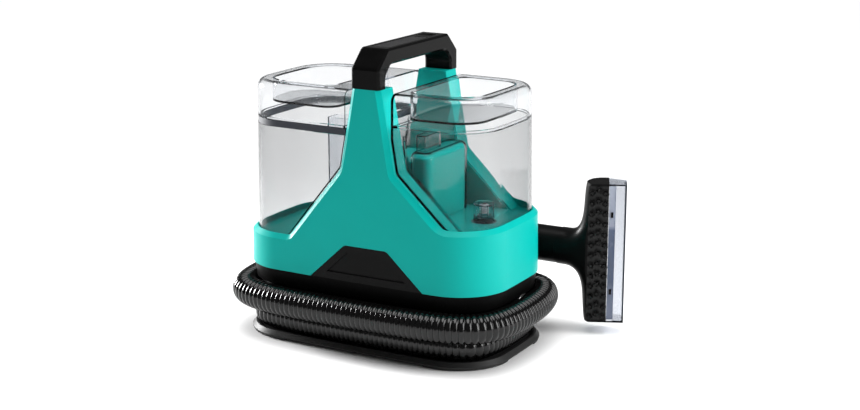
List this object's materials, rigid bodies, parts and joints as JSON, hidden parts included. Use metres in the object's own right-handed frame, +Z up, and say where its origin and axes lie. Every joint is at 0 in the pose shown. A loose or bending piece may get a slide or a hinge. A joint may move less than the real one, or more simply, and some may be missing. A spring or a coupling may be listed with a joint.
{
  "type": "carpet spot cleaner",
  "caption": "Portable carpet and upholstery spot cleaner with clear lift-out tanks, a carry handle, a suction hose wound round its base and a docked brush nozzle.",
  "frame": {"origin": "centre of the bounding box, on the floor under the rubber feet", "axes": "+X to the machine's right, where the nozzle points, +Y to its rear, +Z up"},
  "size_m": [0.4326, 0.2656, 0.348],
  "materials": {
    "teal_plastic": "satin gloss moulded plastic",
    "gloss_black": "glossy black plastic",
    "satin_black": "fine-grained satin black plastic",
    "clear_plastic": "clear plastic with a light smoke tint",
    "smoke_plastic": "smoked clear plastic",
    "seal_rubber": "soft dark rubber",
    "foot_rubber": "matt rubber",
    "hose_plastic": "ribbed satin black hose",
    "steel": "zinc-plated steel",
    "motor_metal": "plain sheet metal",
    "inner_plastic": "plain dark plastic",
    "fan_plastic": "natural glass-filled plastic",
    "tube": "milky silicone tube",
    "circuit_board": "green board with parts",
    "filter_foam": "open foam",
    "bristle": "stiff nylon bristles",
    "float_plastic": "hollow white plastic",
    "valve_plastic": "natural plastic"
  },
  "bodies": {
    "machine": {"base_plate": "satin_black", "rubber_feet": "foot_rubber", "base_screws": "steel", "lower_housing": "satin_black", "front_trim_panel": "satin_black", "main_shell": "teal_plastic", "intake_tower": "teal_plastic", "tower_screws": "steel", "airway_seal": "seal_rubber", "carry_handle": "gloss_black", "handle_grip_inlay": "satin_black", "handle_screws": "steel", "power_switch": "inner_plastic", "motor_can": "motor_metal", "motor_mount": "motor_metal", "fan_shroud": "inner_plastic", "inlet_duct": "inner_plastic", "exhaust_filter": "filter_foam", "pump_body": "inner_plastic", "pump_head": "inner_plastic", "pump_bracket": "inner_plastic", "supply_tube": "tube", "delivery_tube": "tube", "control_board": "circuit_board", "suction_hose": "hose_plastic", "hose_port": "satin_black", "suction_duct": "inner_plastic", "inlet_spigot": "inner_plastic", "spigot_seal": "seal_rubber", "valve_dock": "inner_plastic", "dock_seal": "seal_rubber", "cord_gland": "satin_black", "tool_cradle": "satin_black", "hose_cuff": "satin_black", "grip_upper": "satin_black", "grip_lower": "satin_black", "spray_valve": "inner_plastic", "trigger_pin": "steel", "tool_neck": "gloss_black", "neck_seal": "seal_rubber"},
    "power_button": {"power_button": "gloss_black"},
    "rotor": {"impeller": "fan_plastic", "motor_shaft": "steel"},
    "trigger": {"trigger": "satin_black"},
    "release_button": {"release_button": "satin_black"},
    "nozzle": {"nozzle_hood": "gloss_black", "nozzle_window": "clear_plastic", "brush_strip": "bristle"},
    "dirty_tank": {"dirty_tank": "clear_plastic", "dirty_riser": "smoke_plastic", "float_cage": "smoke_plastic"},
    "float": {"float_ball": "float_plastic"},
    "dirty_lid": {"dirty_lid": "clear_plastic", "dirty_lid_seal": "seal_rubber"},
    "clean_tank": {"clean_tank": "clear_plastic", "clean_vent_box": "clear_plastic", "clean_valve_seat": "valve_plastic", "clean_valve_spring": "steel"},
    "valve_poppet": {"clean_valve_poppet": "valve_plastic"},
    "clean_lid": {"clean_lid": "clear_plastic"}
  },
  "joints": [
    {"name": "button_press", "type": "slide", "parent": "machine", "child": "power_button", "axis": [0, 0, -1], "range_m": [0, 0.0015], "stiffness_N_per_m": 600, "springref_m": -0.001},
    {"name": "rotor_spin", "type": "hinge", "parent": "machine", "child": "rotor", "pos_m": [0.02269, -0.01118, 0.088], "axis": [0, 0, 1], "continuous": true},
    {"name": "trigger_pull", "type": "hinge", "parent": "machine", "child": "trigger", "pos_m": [0.06169, 0.12182, 0.0982], "axis": [0, 0, 1], "range_deg": [0, 8], "stiffness_Nm_per_rad": 0.6, "springref_deg": -5.73},
    {"name": "release_press", "type": "slide", "parent": "machine", "child": "release_button", "axis": [0, -1, 0], "range_m": [0, 0.0015], "stiffness_N_per_m": 600, "springref_m": -0.001},
    {"name": "nozzle_pull", "type": "slide", "parent": "machine", "child": "nozzle", "axis": [1, 0, 0], "range_m": [0, 0.04]},
    {"name": "dirty_tank_lift", "type": "slide", "parent": "machine", "child": "dirty_tank", "axis": [0, 0, 1], "range_m": [0, 0.15]},
    {"name": "float_rise", "type": "slide", "parent": "dirty_tank", "child": "float", "axis": [0, 0, 1], "range_m": [0, 0.0294]},
    {"name": "dirty_lid_lift", "type": "slide", "parent": "dirty_tank", "child": "dirty_lid", "axis": [0, 0, 1], "range_m": [0, 0.08]},
    {"name": "clean_tank_lift", "type": "slide", "parent": "machine", "child": "clean_tank", "axis": [0, 0, 1], "range_m": [0, 0.15]},
    {"name": "valve_open", "type": "slide", "parent": "clean_tank", "child": "valve_poppet", "axis": [0, 0, 1], "range_m": [0, 0.003], "stiffness_N_per_m": 250, "springref_m": -0.002, "deforming": ["clean_valve_spring"]},
    {"name": "clean_lid_lift", "type": "slide", "parent": "clean_tank", "child": "clean_lid", "axis": [0, 0, 1], "range_m": [0, 0.08]}
  ]
}
